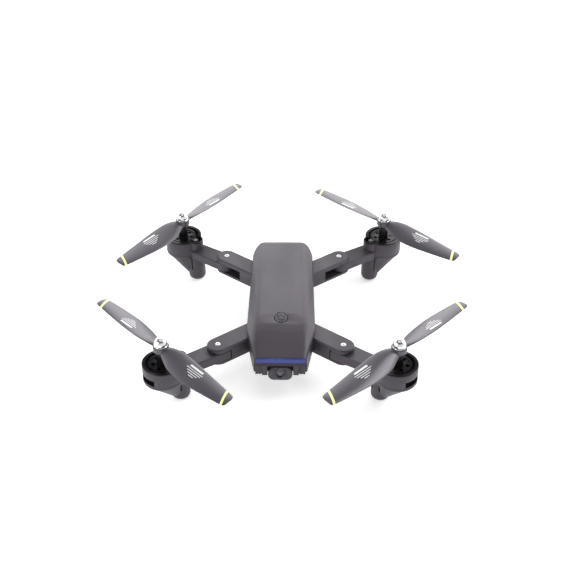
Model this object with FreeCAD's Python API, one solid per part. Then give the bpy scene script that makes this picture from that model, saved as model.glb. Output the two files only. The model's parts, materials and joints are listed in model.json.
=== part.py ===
import FreeCAD, Part
import math
import os

from FreeCAD import Vector

# Folding quadcopter with four geared rotors, in millimetres.
# X is to the right, the camera end faces -Y, Z is up and the feet stand on z = 0.

os.makedirs("parts", exist_ok=True)

# ---------------------------------------------------------------- layout
CENTRE_Y = -2.6          # the rotor layout's centre, so the whole object's box is centred
PIVOT = (40.7, 50.7)     # fold axis of the rear right arm
HUB = (74.0, 73.0)       # rotor axis of the rear right arm
GEAR_TEETH = 47
PINION_TEETH = 9
MODULE = 0.4
GEAR_SPACING = MODULE * (GEAR_TEETH + PINION_TEETH) / 2.0
CORNERS = {
    "fl": (-1, -1),
    "fr": (1, -1),
    "rl": (-1, 1),
    "rr": (1, 1),
}
BLADE_ANGLE = {"fl": 133.8, "fr": 45.0, "rl": 52.9, "rr": 137.6}
TURNS_LEFT = {"fl": True, "fr": False, "rl": False, "rr": True}

# ---------------------------------------------------------------- heights
TOP_Z = 40.0
BELLY_Z = 18.0
SEAM_Z = 24.5            # lower shell below, upper frame above
CANOPY_Z = 33.6          # the canopy starts here at the sides
SEAM_GAP = 0.12
CLEVIS_LOW = 20.0
CLEVIS_TOP = 31.7
TONGUE_LOW = 22.1
TONGUE_TOP = 28.2
MOVE_GAP = 0.45
POD_LOW = 21.7
POD_RIM = 34.3
BEZEL_TOP = 35.3
LEG_LOW = 1.6            # the feet stand here; the export lowers everything onto z = 0
GEAR_LOW = 32.6
GEAR_TOP = 34.6
BLADE_Z = 46.4
BODY_REAR = 61.6
NOSE_SLOPE_START = -42.2
NOSE_SLOPE_END = (-63.4, 31.2)
NOSE_BEND_R = 70.0       # the canopy's top bends down to the nose slope in a wide curve
NOSE_RUNS = 4
NOSE_SPLIT_Z = 26.0      # below this the body's sides don't follow the nose slope
CAP_CENTRE_Z = 50.0

# ---------------------------------------------------------------- radii and walls
WALL = 1.6
CLEVIS_HALF = 7.15
CLEVIS_ANGLE = 37.3
POD_R = 13.1
LOBE_R = 5.5
MOTOR_R = 4.25
MOTOR_LOW = 11.4
MOTOR_TOP = 31.4
SHAFT_R = 1.0
BUSH_R = 2.0
PIN_R = 1.25
BLADE_TIP_R = 66.5
CAP_R = 4.4

# ---------------------------------------------------------------- camera, key, battery
CAM_Y = -65.0
CAM_Z = 22.6
CAM_HALF = 7.85
CAM_FRONT = -70.3
CAM_DEPTH = 4.6
LENS_Z = 22.9
LENS_SINK = 0.5
KEY_Y = -33.4
KEY_R = 4.15
KEY_NECK_HALF = 2.1
KEY_ROOT_Y = -28.4
KEY_SHOULDER_R = 1.4
KEY_GAP = 0.5
BATTERY_HALF = 15.4
BATTERY_FRONT = -28.0
BATTERY_REAR = 56.2

# Cooling slots in the leg's wall: angle from the arm's heading, lower end, upper end.
LEG_SLOTS = [
    (67.0, 11.4, 18.7),
    (118.0, 11.4, 18.7),
    (-45.0, 10.9, 18.2),
    (-96.0, 11.4, 21.2),
]

ARM_ANGLE = math.degrees(math.atan2(HUB[1] - PIVOT[1], HUB[0] - PIVOT[0]))


def step_from(point, angle, distance):
    """The point a distance away from another, in the direction of an angle in degrees."""
    turn = math.radians(angle)
    return (point[0] + distance * math.cos(turn), point[1] + distance * math.sin(turn))


MOTOR = step_from(HUB, ARM_ANGLE + 180.0, GEAR_SPACING)


# ---------------------------------------------------------------- small shape helpers
def box(x0, x1, y0, y1, z0, z1):
    return Part.makeBox(x1 - x0, y1 - y0, z1 - z0, Vector(x0, y0, z0))


def post(point, radius, z0, z1):
    return Part.makeCylinder(radius, z1 - z0, Vector(point[0], point[1], z0))


def ring(point, outer, inner, z0, z1):
    return post(point, outer, z0, z1).cut(post(point, inner, z0 - 1.0, z1 + 1.0))


def bar_x(y, z, radius, x0, x1):
    return Part.makeCylinder(radius, x1 - x0, Vector(x0, y, z), Vector(1, 0, 0))


def bar_y(x, z, radius, y0, y1):
    return Part.makeCylinder(radius, y1 - y0, Vector(x, y0, z), Vector(0, 1, 0))


def prism(points, z0, z1):
    corners = [Vector(p[0], p[1], z0) for p in points]
    wire = Part.makePolygon(corners + corners[:1])
    return Part.Face(wire).extrude(Vector(0, 0, z1 - z0))


def fuse(shapes):
    whole = shapes[0]
    for shape in shapes[1:]:
        whole = whole.fuse(shape)
    return whole.removeSplitter()


def turned(shape, angle, point=(0.0, 0.0)):
    moved = shape.copy()
    moved.rotate(Vector(point[0], point[1], 0), Vector(0, 0, 1), angle)
    return moved


def edges_at(shape, z, tolerance=0.01):
    """The edges of a shape that lie flat at one height."""
    found = []
    for edge in shape.Edges:
        bounds = edge.BoundBox
        if abs(bounds.ZMin - z) < tolerance and abs(bounds.ZMax - z) < tolerance:
            found.append(edge)
    return found


def hull_wire(p1, r1, p2, r2, z):
    """The outline of a belt drawn tight around two circles."""
    dx, dy = p2[0] - p1[0], p2[1] - p1[1]
    distance = math.hypot(dx, dy)
    heading = math.atan2(dy, dx)
    lean = math.acos((r1 - r2) / distance)

    def on_circle(centre, radius, angle):
        return Vector(
            centre[0] + radius * math.cos(angle), centre[1] + radius * math.sin(angle), z
        )

    a1 = on_circle(p1, r1, heading + lean)
    a2 = on_circle(p1, r1, heading + math.pi)
    a3 = on_circle(p1, r1, heading - lean)
    b1 = on_circle(p2, r2, heading - lean)
    b2 = on_circle(p2, r2, heading)
    b3 = on_circle(p2, r2, heading + lean)
    return Part.Wire([
        Part.Arc(a1, a2, a3).toShape(),
        Part.makeLine(a3, b1),
        Part.Arc(b1, b2, b3).toShape(),
        Part.makeLine(b3, a1),
    ])


def hull(p1, r1, p2, r2, z0, z1):
    return Part.Face(hull_wire(p1, r1, p2, r2, z0)).extrude(Vector(0, 0, z1 - z0))


def round_wire(corners, place):
    """A closed outline of straight lines with rounded corners, each given as (a, b, radius)."""
    count = len(corners)
    pieces = []
    starts = []
    ends = []
    for i in range(count):
        here = Vector(corners[i][0], corners[i][1], 0)
        before = Vector(corners[i - 1][0], corners[i - 1][1], 0) - here
        after = Vector(corners[(i + 1) % count][0], corners[(i + 1) % count][1], 0) - here
        before.normalize()
        after.normalize()
        half = before.getAngle(after) / 2.0
        radius = max(corners[i][2], 0.05)
        run = radius / math.tan(half)
        middle = (before + after).normalize()
        centre = here + middle * (radius / math.sin(half))
        starts.append(here + before * run)
        ends.append(here + after * run)
        top = centre - middle * radius
        pieces.append(Part.Arc(place(starts[-1]), place(top), place(ends[-1])).toShape())
    lines = []
    for i in range(count):
        lines.append(pieces[i])
        lines.append(Part.makeLine(place(ends[i]), place(starts[(i + 1) % count])))
    return Part.Wire(lines)


def inset_face(wire, inset):
    face = Part.Face(wire)
    if inset:
        face = face.makeOffset2D(-inset)
    return face


# ---------------------------------------------------------------- body envelope
def nose_path():
    """Where the body's section travels: level, then down the nose in a few short runs."""
    turn = math.atan2(TOP_Z - NOSE_SLOPE_END[1], NOSE_SLOPE_START - NOSE_SLOPE_END[0])
    start = NOSE_SLOPE_START + NOSE_BEND_R * math.tan(turn / 2.0)
    step = turn / (2.0 * NOSE_RUNS)
    reach = NOSE_BEND_R / math.cos(step)
    path = [(90.0, TOP_Z)]
    for n in range(NOSE_RUNS):
        angle = (2 * n + 1) * step
        y = start - reach * math.sin(angle)
        path.append((y, TOP_Z - NOSE_BEND_R + reach * math.cos(angle)))
    y, z = path[-1]
    return path + [(y - 40.0 * math.cos(turn), z - 40.0 * math.sin(turn))]


def body_block(inset=0.0):
    """The body's outer form, or the same form drawn in by a wall thickness."""
    side = [
        (BODY_REAR, BELLY_Z, 3.0),
        (BODY_REAR, TOP_Z, 8.0),
        (NOSE_SLOPE_START, TOP_Z, NOSE_BEND_R),
        (*NOSE_SLOPE_END, 0.4),
        (-66.1, 28.0, 0.4),
        (-67.5, 27.2, 0.2),
        (-67.5, BELLY_Z, 2.0),
    ]
    plan = [
        (21.3, BODY_REAR - 1.8, 16.0),
        (22.6, -38.0, 20.0),
        (17.4, -61.0, 3.0),
        (16.2, -68.5, 0.3),
        (-16.2, -68.5, 0.3),
        (-17.4, -61.0, 3.0),
        (-22.6, -38.0, 20.0),
        (-21.3, BODY_REAR - 1.8, 16.0),
        (0.0, BODY_REAR, 60.0),
    ]
    section = [
        (18.0, BELLY_Z, 2.0),
        (22.6, 24.0, 4.0),
        (22.6, 34.2, 4.0),
        (16.4, TOP_Z, 8.0),
        (-16.4, TOP_Z, 8.0),
        (-22.6, 34.2, 4.0),
        (-22.6, 24.0, 4.0),
        (-18.0, BELLY_Z, 2.0),
    ]
    side_wire = round_wire(side, lambda p: Vector(-40, p.x, p.y))
    plan_wire = round_wire(plan, lambda p: Vector(p.x, p.y, 0))
    section_wire = round_wire(section, lambda p: Vector(p.x, 0, p.y))
    long_form = inset_face(side_wire, inset).extrude(Vector(80, 0, 0))
    tall_form = inset_face(plan_wire, inset).extrude(Vector(0, 0, 80))
    section_face = inset_face(section_wire, inset)

    runs = []
    path = nose_path()
    for here, there in zip(path, path[1:]):
        face = section_face.copy()
        face.translate(Vector(0, here[0], here[1] - TOP_Z))
        runs.append(face.extrude(Vector(0, there[0] - here[0], there[1] - here[1])))
    upper = fuse(runs).common(box(-40, 40, -100, 100, NOSE_SPLIT_Z, 60))
    section_face.translate(Vector(0, -100, 0))
    lower = section_face.extrude(Vector(0, 200, 0))
    lower = lower.common(box(-40, 40, -100, 100, 0, NOSE_SPLIT_Z))
    return long_form.common(tall_form).common(upper.fuse(lower)).removeSplitter()


def crease_angle(shape, edge):
    """The angle between the two faces that meet at an edge, in degrees."""
    faces = [f for f in shape.Faces if any(e.isSame(edge) for e in f.Edges)]
    middle = edge.valueAt((edge.FirstParameter + edge.LastParameter) / 2.0)
    normals = [f.normalAt(*f.Surface.parameter(middle)) for f in faces]
    if len(normals) < 2:
        return 0.0
    return math.degrees(normals[0].getAngle(normals[1]))


def round_rear(block):
    """Round the creases of the canopy's rear end."""
    creases = []
    for edge in block.Edges:
        bounds = edge.BoundBox
        if bounds.YMin > 35.0 and bounds.ZMin > 30.0 and crease_angle(block, edge) > 3.0:
            creases.append(edge)
    return block.makeFillet(3.0, creases)


def canopy_zone():
    """Everything above the line where the canopy meets the frame."""
    line = [
        (-44.0, CANOPY_Z),
        (70.0, CANOPY_Z),
        (70.0, 60.0),
        (-80.0, 60.0),
        (-80.0, 27.9),
        (-58.0, 27.9),
    ]
    points = [Vector(-40, p[0], p[1]) for p in line]
    face = Part.Face(Part.makePolygon(points + points[:1]))
    return face.extrude(Vector(80, 0, 0))


def window_slab(grow=0.0):
    """The tilted strip across the nose, under the front slope."""
    low = Vector(0, -66.1, 28.0)
    high = Vector(0, -63.4, 31.2)
    along = (high - low).normalize()
    inward = Vector(0, along.z, -along.y)
    start = low + along * (0.25 - grow)
    end = high - along * (0.25 - grow)
    front = [start - inward * 2.0, end - inward * 2.0]
    back = [end + inward * (1.2 + grow), start + inward * (1.2 + grow)]
    half = 15.9 + grow
    points = [Vector(-half, p.y, p.z) for p in front + back]
    face = Part.Face(Part.makePolygon(points + points[:1]))
    return face.extrude(Vector(2 * half, 0, 0))


def key_outline(grow, z0, z1):
    """The power key's outline: a round pad that narrows into a neck, which runs to its root."""
    pad_r = KEY_R + grow
    half = KEY_NECK_HALF + grow
    pad = post((0, KEY_Y), pad_r, z0, z1)
    neck = box(-half, half, KEY_Y, KEY_ROOT_Y + grow, z0, z1)
    outline = pad.fuse(neck).removeSplitter()
    shoulder_y = KEY_Y + math.sqrt(pad_r ** 2 - half ** 2)
    shoulders = []
    for edge in outline.Edges:
        middle = edge.BoundBox.Center
        if abs(abs(middle.x) - half) < 0.01 and abs(middle.y - shoulder_y) < 0.01:
            shoulders.append(edge)
    return outline.makeFillet(KEY_SHOULDER_R - grow, shoulders)


def camera_hollow():
    """The space that the camera tilts in, open at the front and below."""
    half = CAM_HALF + 0.4
    swing = bar_x(CAM_Y, CAM_Z, 7.2, -half, half)
    outline = round_wire([
        (half, 10.0, 0.5),
        (half, 27.25, 4.2),
        (-half, 27.25, 4.2),
        (-half, 10.0, 0.5),
    ], lambda p: Vector(p.x, -75.0, p.y))
    mouth = Part.Face(outline).extrude(Vector(0, CAM_Y + 75.0, 0))
    return swing.fuse(mouth).common(box(-half, half, -80.0, -50.0, 10.0, 27.25))


def rear_opening():
    return box(-16.2, 16.2, 50.0, 70.0, 19.6, CANOPY_Z)


def nose_zone(grow=0.0):
    return box(-16.1 - grow, 16.1 + grow, -80.0, -56.0 + grow, 19.7 - grow, 27.85)


SCREW_POINTS = [(19.0, 30.0), (19.0, -18.0), (17.0, -48.0)]


def screw_points():
    return [(side * x, y) for x, y in SCREW_POINTS for side in (1, -1)]


# ---------------------------------------------------------------- fixed inner arms
def clevis_frame(shape):
    """Turn a shape drawn along +X from the pivot into the rear right inner arm."""
    moved = shape.copy()
    moved.rotate(Vector(0, 0, 0), Vector(0, 0, 1), CLEVIS_ANGLE)
    moved.translate(Vector(PIVOT[0], PIVOT[1], 0))
    return moved


def clevis():
    """The fixed inner arm: two plates joined by a wall on the side away from the middle."""
    block = box(-36.0, 0.0, -CLEVIS_HALF, CLEVIS_HALF, CLEVIS_LOW, CLEVIS_TOP)
    block = block.fuse(post((0, 0), CLEVIS_HALF, CLEVIS_LOW, CLEVIS_TOP)).removeSplitter()
    block = block.makeChamfer(0.8, edges_at(block, CLEVIS_TOP))
    low, high = TONGUE_LOW - MOVE_GAP, TONGUE_TOP + MOVE_GAP
    window = box(-18.0, 9.0, -9.0, CLEVIS_HALF - 2.0, low, high)
    front = box(-6.0, 9.0, -9.0, 9.0, low, high)
    round_room = post((0, 0), CLEVIS_HALF + 0.35, low, high)
    block = block.cut(fuse([window, front, round_room]))
    wire_way = Part.makeCylinder(1.6, 26.0, Vector(-42.0, -1.0, 25.2), Vector(1, 0, 0))
    block = block.cut(wire_way)
    block = block.cut(post((0, 0), PIN_R + 0.02, 10.0, 40.0))
    block = block.cut(post((0, 0), 2.15, CLEVIS_TOP - 0.7, CLEVIS_TOP + 1.0))
    return clevis_frame(block)


def mirrored(shape, signs):
    out = shape.copy()
    if signs[0] < 0:
        out = out.mirror(Vector(0, 0, 0), Vector(1, 0, 0))
    if signs[1] < 0:
        out = out.mirror(Vector(0, 0, 0), Vector(0, 1, 0))
    return out


def all_corners(shape):
    return [mirrored(shape, signs) for signs in CORNERS.values()]


# ---------------------------------------------------------------- outer arm
def outer_arm():
    """Folding arm with the rotor housing's wall, drawn for the rear right corner."""
    plate = hull(PIVOT, CLEVIS_HALF, MOTOR, 6.3, TONGUE_LOW, TONGUE_TOP)
    heel = clevis_frame(box(-5.2, 0.0, 0.0, CLEVIS_HALF, TONGUE_LOW, TONGUE_TOP))
    plate = plate.fuse(heel).removeSplitter()
    plate = plate.makeChamfer(0.7, edges_at(plate, TONGUE_TOP))
    plate = plate.cut(post(HUB, POD_R, TONGUE_LOW - 1.0, SEAM_Z + SEAM_GAP))
    wall = post(HUB, POD_R, SEAM_Z + SEAM_GAP, POD_RIM)
    lobe = post(MOTOR, LOBE_R, SEAM_Z + SEAM_GAP, POD_RIM)
    arm = fuse([plate, wall, lobe])
    arm = arm.cut(post(HUB, POD_R - 1.7, SEAM_Z, POD_RIM + 1.0))
    arm = arm.cut(post(MOTOR, MOTOR_R + 0.65, 20.0, POD_RIM + 1.0))
    arm = arm.cut(post(PIVOT, PIN_R + 0.06, 20.0, 40.0))
    arm = arm.cut(lens_band(POD_R - 2.5, POD_R + 1.0, 24.9, 29.2, 37.0))
    wire_start = step_from(PIVOT, ARM_ANGLE, 8.0)
    heading = Vector(math.cos(math.radians(ARM_ANGLE)), math.sin(math.radians(ARM_ANGLE)), 0)
    wire_way = Part.makeCylinder(1.3, 16.0, Vector(wire_start[0], wire_start[1], 25.2), heading)
    return arm.cut(wire_way)


def lens_band(inner, outer, z0, z1, half_angle):
    """A curved band on the rotor housing's outer side, centred on the arm's heading."""
    start = Vector(HUB[0], HUB[1], z0)
    sector = Part.makeCylinder(outer, z1 - z0, start, Vector(0, 0, 1), 2 * half_angle)
    sector.rotate(start, Vector(0, 0, 1), ARM_ANGLE - half_angle)
    return sector.cut(post(HUB, inner, z0 - 1.0, z1 + 1.0))


def led_lens():
    return lens_band(POD_R - 1.65, POD_R - 0.1, 24.98, 29.12, 36.6)


def leg_cover():
    """Lower half of the rotor housing with the landing leg that holds the motor."""
    outer_foot = step_from(MOTOR, ARM_ANGLE, 0.6)
    tube = post(MOTOR, 6.2, LEG_LOW, TONGUE_LOW - 0.1)
    tube = tube.makeFillet(3.8, edges_at(tube, LEG_LOW))
    wedge = Part.makeLoft([
        hull_wire(MOTOR, 2.4, outer_foot, 2.4, LEG_LOW),
        hull_wire(MOTOR, 6.0, HUB, 12.3, TONGUE_LOW - 0.1),
    ], True, True)
    disc = post(HUB, POD_R, POD_LOW, SEAM_Z)
    disc = disc.makeFillet(1.2, edges_at(disc, POD_LOW))
    leg = fuse([tube, wedge, disc])
    inner_wedge = Part.makeLoft([
        hull_wire(MOTOR, 1.6, outer_foot, 1.6, LEG_LOW + 2.4),
        hull_wire(MOTOR, 4.6, HUB, 10.8, TONGUE_LOW + 1.5),
    ], True, True)
    for room in (
        inner_wedge,
        post(MOTOR, 4.8, LEG_LOW + 2.2, 30.0),
        post(HUB, POD_R - 1.4, POD_LOW + 1.4, SEAM_Z + 1.0),
    ):
        leg = leg.cut(room)
    leg = leg.fuse(ring(MOTOR, 5.3, MOTOR_R + 0.05, MOTOR_LOW - 1.2, TONGUE_LOW - 0.4))
    leg = leg.fuse(ring(MOTOR, 5.3, 2.0, MOTOR_LOW - 1.2, MOTOR_LOW))
    for angle, low, high in LEG_SLOTS:
        slot = box(4.0, 12.0, -0.6, 0.6, low, high)
        slot.rotate(Vector(0, 0, 0), Vector(0, 0, 1), ARM_ANGLE + angle)
        slot.translate(Vector(MOTOR[0], MOTOR[1], 0))
        leg = leg.cut(slot.cut(post(MOTOR, 5.35, 0.0, 30.0)))
    return leg


def gear_base():
    """Dark insert that closes the housing: bezel, floor, bearing sleeve and motor collar."""
    flange = post(HUB, POD_R, POD_RIM, BEZEL_TOP).fuse(post(MOTOR, LOBE_R, POD_RIM, BEZEL_TOP))
    flange = flange.removeSplitter()
    flange = flange.makeChamfer(0.35, edges_at(flange, BEZEL_TOP))
    body = post(HUB, POD_R - 1.75, 30.4, POD_RIM)
    collar = post(MOTOR, MOTOR_R + 0.6, 30.4, POD_RIM)
    sleeve = post(HUB, 3.4, 25.2, 32.1)
    cavity = post(HUB, 10.8, 31.6, 40.0)
    pinion_room = post(MOTOR, MOTOR_R + 0.05, 29.0, 40.0)
    base = fuse([flange, body, collar]).cut(cavity)
    base = base.fuse(sleeve).cut(pinion_room)
    ribs = [turned(box(3.0, 10.9, -0.5, 0.5, 28.6, 30.5), 60.0 * n + 30.0) for n in range(6)]
    for rib in ribs:
        rib.rotate(Vector(0, 0, 0), Vector(0, 0, 1), ARM_ANGLE)
        rib.translate(Vector(HUB[0], HUB[1], 0))
        base = base.fuse(rib)
    base = base.cut(post(MOTOR, MOTOR_R + 0.05, 20.0, 40.0))
    base = base.cut(post(HUB, SHAFT_R + 0.4, 20.0, 40.0))
    base = base.cut(post(HUB, BUSH_R, 30.0, 33.0))
    base = base.cut(post(HUB, BUSH_R, 24.0, 27.3))
    return base.removeSplitter()


def bushings():
    lower = ring(HUB, BUSH_R, SHAFT_R + 0.05, 25.2, 27.3)
    upper = ring(HUB, BUSH_R, SHAFT_R + 0.05, 30.0, 32.1)
    return [lower, upper]


def motor_can():
    can = post(MOTOR, MOTOR_R, MOTOR_LOW, MOTOR_TOP)
    can = can.makeFillet(0.5, edges_at(can, MOTOR_TOP))
    boss = post(MOTOR, 1.6, MOTOR_TOP - 0.1, MOTOR_TOP + 0.4)
    end_plug = post(MOTOR, 1.7, MOTOR_LOW - 0.6, MOTOR_LOW + 0.1)
    bore = post(MOTOR, 0.55, MOTOR_TOP - 6.0, MOTOR_TOP + 2.0)
    return fuse([can, boss, end_plug]).cut(bore)


# ---------------------------------------------------------------- gears
def tooth_points(teeth, shift, tip_r, root_r, backlash, tilt):
    """Outline of a spur gear with involute flanks, its first tooth centred on tilt degrees."""
    press = math.radians(20.0)
    pitch_r = MODULE * teeth / 2.0
    base_r = pitch_r * math.cos(press)
    half_pitch = (math.pi / 2.0 + 2.0 * shift * math.tan(press)) / teeth
    half_pitch -= backlash / (2.0 * pitch_r)
    roll = math.tan(press) - press

    def half_angle(radius):
        if radius <= base_r:
            return half_pitch + roll
        lean = math.acos(base_r / radius)
        return half_pitch + roll - (math.tan(lean) - lean)

    low = max(root_r, base_r)
    radii = [low + (tip_r - low) * n / 3.0 for n in range(4)]
    if root_r < base_r:
        radii = [root_r] + radii
    points = []
    for tooth in range(teeth):
        middle = math.radians(tilt) + 2.0 * math.pi * tooth / teeth
        flank = [(r, middle - half_angle(r)) for r in radii]
        flank += [(r, middle + half_angle(r)) for r in reversed(radii)]
        points += [(r * math.cos(a), r * math.sin(a)) for r, a in flank]
    return points


def main_gear():
    """Driven gear with six round holes and the tall column that carries the propeller."""
    outline = tooth_points(GEAR_TEETH, -0.45, 9.62, 8.72, 0.05, ARM_ANGLE + 180.0)
    gear = prism(outline, GEAR_LOW, GEAR_TOP)
    dish = ring((0, 0), 8.0, 3.9, GEAR_TOP - 0.5, GEAR_TOP + 1.0)
    gear = gear.cut(dish)
    for n in range(6):
        gear = gear.cut(post(step_from((0, 0), 13.0 + 60.0 * n, 5.9), 1.3, 30.0, 40.0))
    column = Part.makeCone(3.4, 3.0, 43.6 - GEAR_LOW, Vector(0, 0, GEAR_LOW))
    gear = gear.fuse(column)
    for n in range(4):
        gear = gear.fuse(turned(box(2.6, 3.9, -0.35, 0.35, GEAR_LOW, 40.0), 90.0 * n + 45.0))
    gear = gear.fuse(post((0, 0), 1.9, GEAR_LOW - 0.2, GEAR_LOW))
    gear = gear.cut(post((0, 0), SHAFT_R, 30.0, 50.0))
    gear = gear.removeSplitter()
    gear.translate(Vector(HUB[0], HUB[1], 0))
    return gear


def pinion():
    """Motor pinion on the end of the motor shaft."""
    tilt = ARM_ANGLE + 180.0 / PINION_TEETH
    outline = tooth_points(PINION_TEETH, 0.45, 2.32, 1.48, 0.05, tilt)
    gear = prism(outline, GEAR_LOW - 0.2, GEAR_TOP)
    shaft = post((0, 0), 0.5, MOTOR_TOP - 5.5, GEAR_TOP + 0.5)
    whole = gear.fuse(shaft)
    whole.translate(Vector(MOTOR[0], MOTOR[1], 0))
    return whole


# ---------------------------------------------------------------- propeller
# radius, leading edge, trailing edge, pitch in degrees, thickness
BLADE_STATIONS = [
    (3.2, 3.0, -3.4, 22.0, 2.4),
    (8.0, 5.0, -5.6, 24.0, 2.0),
    (15.0, 6.2, -8.2, 22.0, 1.6),
    (25.0, 6.2, -9.4, 18.0, 1.4),
    (36.0, 5.6, -9.4, 14.0, 1.2),
    (48.0, 4.7, -8.3, 11.0, 1.05),
    (58.0, 3.9, -7.1, 9.0, 0.95),
    (64.0, 3.3, -6.2, 8.0, 0.85),
    (65.9, 2.2, -5.6, 8.0, 0.8),
    (BLADE_TIP_R, 0.4, -4.6, 8.0, 0.7),
]


def blade_section(radius, lead, trail, pitch, thick):
    """One cambered section of a blade that runs along +X, closed by blunt edges."""
    turn = math.radians(pitch)
    chord = lead - trail
    upper = []
    lower = []
    for n in range(6):
        along = n / 5.0
        v = trail + chord * along
        rise = 4.0 * along * (1.0 - along)
        camber = 0.045 * chord * rise
        half = 0.5 * thick * (0.35 + 0.65 * rise)
        for side, points in ((half, upper), (-half, lower)):
            w = camber + side
            points.append(Vector(
                radius,
                v * math.cos(turn) - w * math.sin(turn),
                BLADE_Z + v * math.sin(turn) + w * math.cos(turn),
            ))
    top = Part.BSplineCurve()
    top.interpolate(upper)
    bottom = Part.BSplineCurve()
    bottom.interpolate(list(reversed(lower)))
    return Part.Wire([
        top.toShape(),
        Part.makeLine(upper[-1], lower[-1]),
        bottom.toShape(),
        Part.makeLine(lower[0], upper[0]),
    ])


def propeller():
    """Two-blade propeller for a rotor that turns left, with its blades along X."""
    blade = Part.makeLoft([blade_section(*row) for row in BLADE_STATIONS], True, False)
    collar = post((0, 0), 5.1, 45.0, 48.6)
    skirt = Part.makeCone(3.6, 5.1, 1.4, Vector(0, 0, 43.6))
    whole = fuse([collar, skirt, blade, turned(blade, 180.0)])
    keep = post((0, 0), 80.0, 43.6, 48.6)
    return whole.common(keep).cut(post((0, 0), SHAFT_R, 40.0, 55.0))


def spinner_cap():
    wall = post((0, 0), CAP_R, 48.6, CAP_CENTRE_Z)
    dome = Part.makeSphere(CAP_R, Vector(0, 0, CAP_CENTRE_Z))
    dome = dome.common(post((0, 0), CAP_R + 1.0, CAP_CENTRE_Z, CAP_CENTRE_Z + 6.0))
    cap = wall.fuse(dome).removeSplitter()
    cap = cap.makeFillet(0.5, edges_at(cap, 48.6))
    return cap.cut(post((0, 0), SHAFT_R, 40.0, CAP_CENTRE_Z + 1.5))


def rotor_shaft():
    shaft = post(HUB, SHAFT_R, 24.9, CAP_CENTRE_Z + 1.4)
    return shaft


# ---------------------------------------------------------------- body parts
def shell():
    return body_block().cut(body_block(WALL))


def make_canopy(inner):
    canopy = round_rear(body_block()).cut(inner).common(canopy_zone())
    posts = []
    for x, y in ((11.0, -36.0), (-11.0, -36.0), (11.0, 32.0), (-11.0, 32.0)):
        posts.append(post((x, y), 1.8, 35.8, 38.9))
    canopy = fuse([canopy] + posts)
    canopy = canopy.cut(key_outline(KEY_GAP, 35.0, 45.0))
    canopy = canopy.cut(window_slab(0.02))
    return canopy.cut(nose_zone(0.05))


def make_upper_frame(skin, inner, arms):
    band = skin.common(box(-40, 40, -80, 80, SEAM_Z + SEAM_GAP, 60.0))
    band = band.cut(canopy_low())
    band = band.cut(nose_zone(0.05)).cut(rear_opening())
    band = band.common(box(-40, 40, -62.0, 80, 0, 60))
    upper_arms = []
    for arm in arms:
        part = arm.common(box(-90, 90, -90, 90, SEAM_Z + SEAM_GAP, 40.0))
        upper_arms.append(part.cut(inner))
    walls = [
        box(-21.0, 21.0, -55.7, -54.2, SEAM_Z + SEAM_GAP, 27.8),
        box(-21.9, 21.9, -38.4, -36.9, SEAM_Z + SEAM_GAP, CANOPY_Z - 0.4),
    ]
    frame = fuse([band] + upper_arms + [w.common(body_block(0.4)) for w in walls])
    bosses = [post(p, 2.0, SEAM_Z + SEAM_GAP, 31.0) for p in screw_points()]
    frame = fuse([frame] + [b.common(body_block(0.4)) for b in bosses])
    for p in screw_points():
        frame = frame.cut(post(p, 0.82, 20.0, 29.5))
    return frame


def canopy_low():
    """The canopy's zone, grown downwards by the seam."""
    zone = canopy_zone()
    lower = zone.copy()
    lower.translate(Vector(0, 0, -SEAM_GAP))
    return zone.fuse(lower)


def make_bottom_shell(skin, inner, arms):
    tray = skin.common(box(-40, 40, -62.0, 80, 0, SEAM_Z))
    tray = tray.cut(nose_zone(0.05)).cut(rear_opening())
    lower_arms = []
    for arm in arms:
        part = arm.common(box(-90, 90, -90, 90, 0.0, SEAM_Z))
        lower_arms.append(part.cut(inner))
    tray = fuse([tray] + lower_arms)
    bosses = [post(p, 2.0, BELLY_Z + 0.6, SEAM_Z) for p in screw_points()]
    tray = fuse([tray] + [b.common(body_block(0.4)) for b in bosses])
    for p in screw_points():
        tray = tray.cut(post(p, 0.82, 10.0, 30.0)).cut(post(p, 1.72, 10.0, BELLY_Z + 1.2))
    tray = tray.cut(camera_hollow())
    tray = tray.cut(box(-5.5, 5.5, -50.5, -41.5, 10.0, BELLY_Z + 3.0))
    for n in range(5):
        y = -2.0 + 5.0 * n
        tray = tray.cut(box(-8.0, 8.0, y, y + 1.6, 10.0, BELLY_Z + 3.0))
    return tray


def make_nose():
    """Ribbed nose that carries the camera's trunnions."""
    nose = body_block().common(nose_zone())
    for side in (1, -1):
        outer = box(12.2, 20.0, -80.0, -66.4, 10.0, 27.0)
        groove_a = box(11.9, 12.5, -80.0, -65.9, 10.0, 27.0)
        groove_b = box(14.0, 14.5, -80.0, -65.8, 10.0, 27.0)
        cuts = outer.fuse(groove_a).fuse(groove_b)
        if side < 0:
            cuts = cuts.mirror(Vector(0, 0, 0), Vector(1, 0, 0))
        nose = nose.cut(cuts)
    nose = nose.cut(window_slab(0.02))
    nose = nose.cut(camera_hollow())
    nose = nose.cut(bar_x(CAM_Y, CAM_Z, 1.26, -11.0, 11.0))
    return nose


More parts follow.
